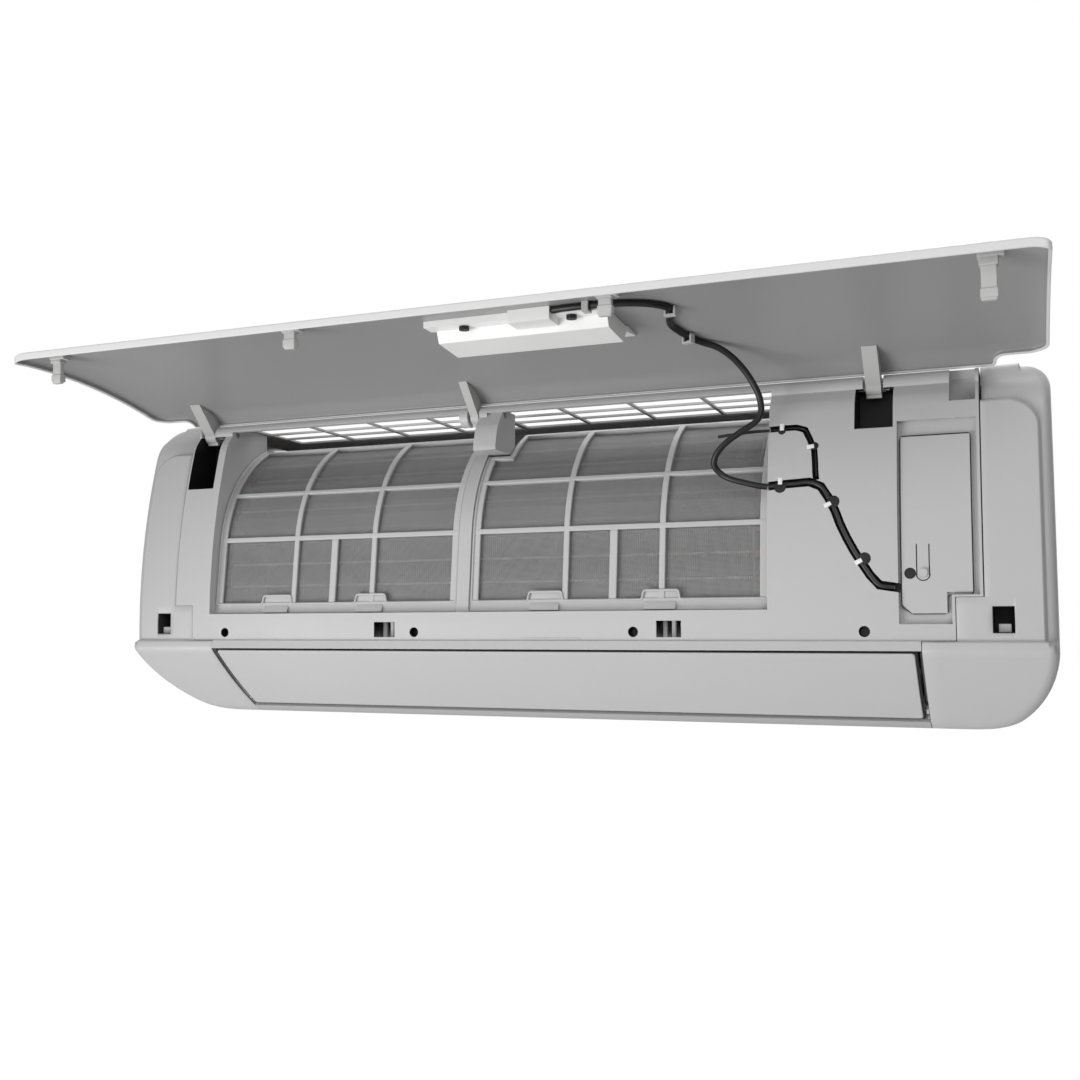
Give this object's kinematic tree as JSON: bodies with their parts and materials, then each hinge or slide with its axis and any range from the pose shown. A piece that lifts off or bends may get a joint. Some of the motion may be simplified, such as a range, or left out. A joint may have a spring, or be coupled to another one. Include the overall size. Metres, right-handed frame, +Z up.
{
  "type": "mini split indoor unit",
  "caption": "Wall-hung air conditioner indoor unit with a lift-up curved front panel, two slide-out filters, a motor-driven louver, swing vanes and a cross-flow fan",
  "frame": {"origin": "on the wall plane, in the middle of the mounting plate's four fixing holes", "axes": "+X to the right seen from the room, +Y into the wall, +Z up"},
  "size_m": [0.84, 0.3641, 0.3304],
  "materials": {
    "casing_abs": "fine moulded satin",
    "panel_abs": "satin gloss",
    "chassis_abs": "moulded matte",
    "inner_abs": "moulded matte",
    "display_plastic": "moulded matte",
    "filter_plastic": "moulded matte",
    "filter_mesh": "fine woven net",
    "dark_plastic": "moulded matte",
    "black_rubber": "matte",
    "cable_pvc": "soft satin",
    "board": "solder mask",
    "fins": "mill finish",
    "copper": "drawn copper",
    "union_brass": "turned brass",
    "zinc_plate": "zinc-plated sheet",
    "screw_steel": "zinc-plated"
  },
  "bodies": {
    "body": {"mounting_plate": "zinc_plate", "rear_chassis": "chassis_abs", "front_frame": "casing_abs", "top_grille": "casing_abs", "end_cap_left": "casing_abs", "end_cap_right": "casing_abs", "frame_screws": "screw_steel", "control_box": "inner_abs", "circuit_board": "board", "terminal_block": "dark_plastic", "service_cover": "casing_abs", "cover_screw": "screw_steel", "coil_lower": "fins", "coil_upper": "fins", "coil_rear": "fins", "tube_sheets": "fins", "return_bends": "copper", "gas_pipe": "copper", "liquid_pipe": "copper", "flare_unions": "union_brass", "drain_plug": "black_rubber", "fan_bush": "black_rubber", "fan_motor": "inner_abs", "motor_clamp": "zinc_plate", "louver_bushes": "inner_abs", "louver_motor": "screw_steel", "cable_loop": "cable_pvc", "cable_in_channel": "cable_pvc", "sensor_lead": "cable_pvc", "sensor_probe": "cable_pvc"},
    "panel": {"front_panel": "panel_abs", "hinge_arms": "inner_abs", "latch_hooks": "inner_abs", "display_housing": "display_plastic", "display_screws": "screw_steel", "panel_clips": "inner_abs", "cable_on_panel": "cable_pvc"},
    "louver": {"louver": "casing_abs"},
    "fan": {"fan_wheel": "dark_plastic", "fan_shaft": "screw_steel"},
    "filter_left": {"filter_left": "filter_plastic", "mesh_left": "filter_mesh"},
    "filter_right": {"filter_right": "filter_plastic", "mesh_right": "filter_mesh"},
    "link_left": {"link_left": "dark_plastic"},
    "link_right": {"link_right": "dark_plastic"},
    "vane_l1": {"vane_l1": "dark_plastic"},
    "vane_l2": {"vane_l2": "dark_plastic"},
    "vane_l3": {"vane_l3": "dark_plastic"},
    "vane_l4": {"vane_l4": "dark_plastic"},
    "vane_l5": {"vane_l5": "dark_plastic"},
    "vane_r1": {"vane_r1": "dark_plastic"},
    "vane_r2": {"vane_r2": "dark_plastic"},
    "vane_r3": {"vane_r3": "dark_plastic"},
    "vane_r4": {"vane_r4": "dark_plastic"},
    "vane_r5": {"vane_r5": "dark_plastic"}
  },
  "joints": [
    {"name": "panel_hinge", "type": "hinge", "parent": "body", "child": "panel", "pos_m": [0, -0.1605, 0.1364], "axis": [-1, 0, 0], "range_deg": [-90, 0], "deforming": ["cable_loop"]},
    {"name": "louver_hinge", "type": "hinge", "parent": "body", "child": "louver", "pos_m": [0, -0.137, -0.121], "axis": [1, 0, 0], "range_deg": [0, 85]},
    {"name": "fan_spin", "type": "hinge", "parent": "body", "child": "fan", "pos_m": [-0.063, -0.1, -0.008], "axis": [1, 0, 0], "continuous": true},
    {"name": "filter_left_slide", "type": "slide", "parent": "body", "child": "filter_left", "axis": [0, -1, 0], "range_m": [0, 0.11]},
    {"name": "filter_right_slide", "type": "slide", "parent": "body", "child": "filter_right", "axis": [0, -1, 0], "range_m": [0, 0.11], "deforming": ["sensor_probe"]},
    {"name": "vane_l1_swing", "type": "hinge", "parent": "body", "child": "vane_l1", "pos_m": [-0.27, -0.10321, -0.10317], "axis": [0, -0.721, 0.693], "range_deg": [-30, 30]},
    {"name": "vane_l2_swing", "type": "hinge", "parent": "body", "child": "vane_l2", "pos_m": [-0.22, -0.10321, -0.10317], "axis": [0, -0.721, 0.693], "range_deg": [-30, 30]},
    {"name": "vane_l3_swing", "type": "hinge", "parent": "body", "child": "vane_l3", "pos_m": [-0.17, -0.10321, -0.10317], "axis": [0, -0.721, 0.693], "range_deg": [-30, 30]},
    {"name": "vane_l4_swing", "type": "hinge", "parent": "body", "child": "vane_l4", "pos_m": [-0.12, -0.10321, -0.10317], "axis": [0, -0.721, 0.693], "range_deg": [-30, 30]},
    {"name": "vane_l5_swing", "type": "hinge", "parent": "body", "child": "vane_l5", "pos_m": [-0.07, -0.10321, -0.10317], "axis": [0, -0.721, 0.693], "range_deg": [-30, 30]},
    {"name": "link_left_slide", "type": "slide", "parent": "body", "child": "link_left", "axis": [1, 0, 0], "range_m": [-0.007, 0.007]},
    {"name": "vane_r1_swing", "type": "hinge", "parent": "body", "child": "vane_r1", "pos_m": [-0.02, -0.10321, -0.10317], "axis": [0, -0.721, 0.693], "range_deg": [-30, 30]},
    {"name": "vane_r2_swing", "type": "hinge", "parent": "body", "child": "vane_r2", "pos_m": [0.03, -0.10321, -0.10317], "axis": [0, -0.721, 0.693], "range_deg": [-30, 30]},
    {"name": "vane_r3_swing", "type": "hinge", "parent": "body", "child": "vane_r3", "pos_m": [0.08, -0.10321, -0.10317], "axis": [0, -0.721, 0.693], "range_deg": [-30, 30]},
    {"name": "vane_r4_swing", "type": "hinge", "parent": "body", "child": "vane_r4", "pos_m": [0.13, -0.10321, -0.10317], "axis": [0, -0.721, 0.693], "range_deg": [-30, 30]},
    {"name": "vane_r5_swing", "type": "hinge", "parent": "body", "child": "vane_r5", "pos_m": [0.18, -0.10321, -0.10317], "axis": [0, -0.721, 0.693], "range_deg": [-30, 30]},
    {"name": "link_right_slide", "type": "slide", "parent": "body", "child": "link_right", "axis": [1, 0, 0], "range_m": [-0.007, 0.007]}
  ],
  "couplings": [
    {"joint": "vane_l1_swing", "follows": "link_left_slide", "rad_per_m": -74.074},
    {"joint": "vane_l2_swing", "follows": "link_left_slide", "rad_per_m": -74.074},
    {"joint": "vane_l3_swing", "follows": "link_left_slide", "rad_per_m": -74.074},
    {"joint": "vane_l4_swing", "follows": "link_left_slide", "rad_per_m": -74.074},
    {"joint": "vane_l5_swing", "follows": "link_left_slide", "rad_per_m": -74.074},
    {"joint": "vane_r1_swing", "follows": "link_right_slide", "rad_per_m": -74.074},
    {"joint": "vane_r2_swing", "follows": "link_right_slide", "rad_per_m": -74.074},
    {"joint": "vane_r3_swing", "follows": "link_right_slide", "rad_per_m": -74.074},
    {"joint": "vane_r4_swing", "follows": "link_right_slide", "rad_per_m": -74.074},
    {"joint": "vane_r5_swing", "follows": "link_right_slide", "rad_per_m": -74.074}
  ]
}
